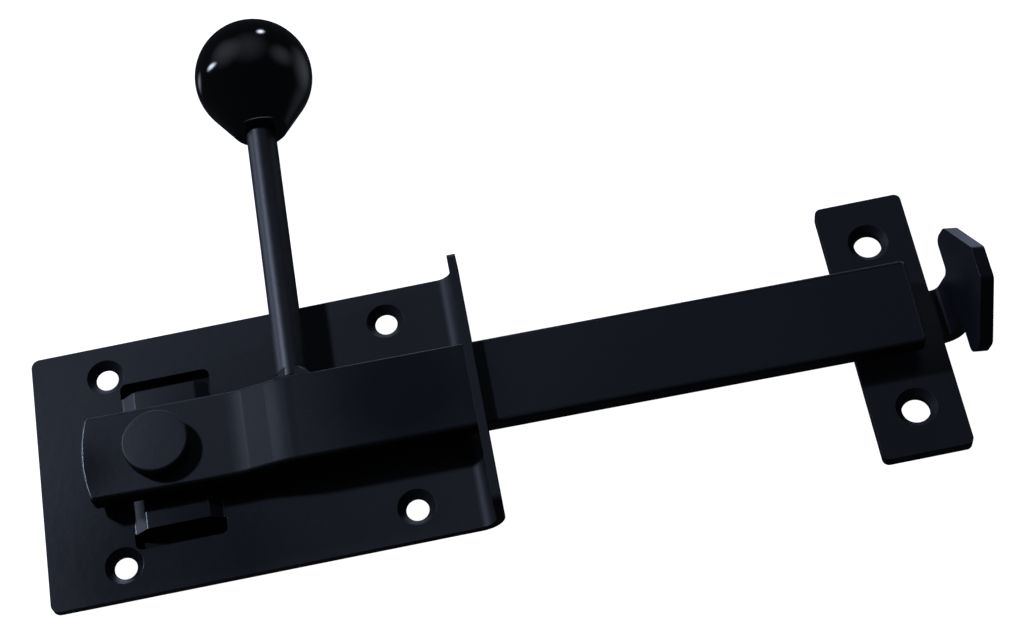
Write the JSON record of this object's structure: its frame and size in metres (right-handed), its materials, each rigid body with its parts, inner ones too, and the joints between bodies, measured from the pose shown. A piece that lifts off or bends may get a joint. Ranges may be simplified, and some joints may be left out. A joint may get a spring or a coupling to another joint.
{
  "type": "gate lock",
  "caption": "Black gate lock: a pivoting joggled latch bar with a ball lever on a flanged base plate, and a keeper plate with a bent-up arrow-shaped catch.",
  "frame": {"origin": "centre of the base plate's screw pattern, on the plate's back face", "axes": "+X along the base plate towards the keeper, +Y up towards the ball knob, +Z out of the plate, away from the gate"},
  "size_m": [0.2718, 0.182, 0.0387],
  "materials": {
    "coated_steel": "black satin powder coat",
    "knob_plastic": "polished black thermoset plastic",
    "insert_brass": "plain machined brass"
  },
  "bodies": {
    "mounting": {"base_plate": "coated_steel", "pivot_pin": "coated_steel", "keeper_plate": "coated_steel"},
    "lever": {"latch_bar": "coated_steel", "lever_rod": "coated_steel", "rod_weld": "coated_steel", "ball_knob": "knob_plastic", "knob_insert": "insert_brass"}
  },
  "joints": [
    {"name": "bar_pivot", "type": "hinge", "parent": "mounting", "child": "lever", "pos_m": [-0.027, 0, 0.0083], "axis": [0, 0, 1], "range_deg": [-3.7, 5.2]}
  ]
}
